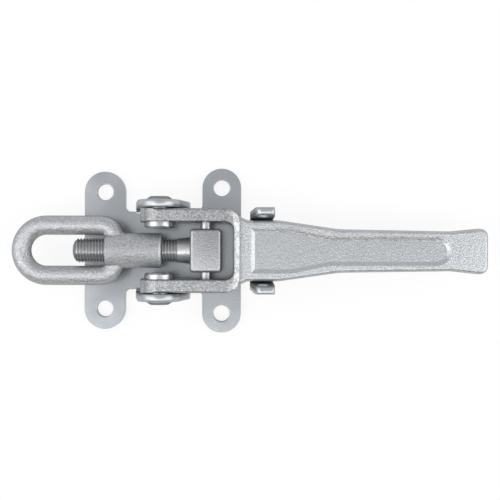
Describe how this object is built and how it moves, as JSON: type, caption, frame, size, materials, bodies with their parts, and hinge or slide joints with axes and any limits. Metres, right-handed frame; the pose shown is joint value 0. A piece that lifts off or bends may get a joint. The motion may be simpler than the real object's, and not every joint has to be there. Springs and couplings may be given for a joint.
{
  "type": "cam latch",
  "caption": "Over-centre cam latch: a forged lever on a bent base plate pulls a threaded loop over a keeper and closes between drilled lock ears.",
  "frame": {"origin": "on the underside of the base plate, on its centre line, midway between the two rows of fixing holes and straight below the lever's pivot", "axes": "+X along the handle, from the pivot to its end; +Z away from the surface that the latch is bolted to; the centre plane is Y = 0"},
  "size_m": [0.3124, 0.1126, 0.05],
  "materials": {
    "plated_sheet": "bright zinc plate on smooth sheet",
    "plated_forgings": "bright zinc plate on a rough forged skin",
    "plated_bolt": "bright zinc plate on machined steel",
    "plated_rivets": "bright zinc plate"
  },
  "bodies": {
    "base": {"base_plate": "plated_sheet", "rear_pivot_rivet": "plated_rivets", "front_pivot_rivet": "plated_rivets"},
    "lever": {"lever": "plated_forgings", "cross_pin": "plated_rivets"},
    "bolt": {"tension_bolt": "plated_bolt"},
    "nut": {"loop_nut": "plated_forgings"}
  },
  "joints": [
    {"name": "lever_pivot", "type": "hinge", "parent": "base", "child": "lever", "pos_m": [0, 0, 0.032], "axis": [0, -1, 0], "range_deg": [0, 115]},
    {"name": "bolt_pivot", "type": "hinge", "parent": "lever", "child": "bolt", "pos_m": [0.0306, 0, 0.0285], "axis": [0, -1, 0], "range_deg": [-115, 0]},
    {"name": "loop_turn", "type": "hinge", "parent": "bolt", "child": "nut", "pos_m": [-0.018, 0, 0.0285], "axis": [1, 0, 0], "continuous": true}
  ],
  "couplings": [
    {"joint": "bolt_pivot", "follows": "lever_pivot", "ratio": -1}
  ]
}
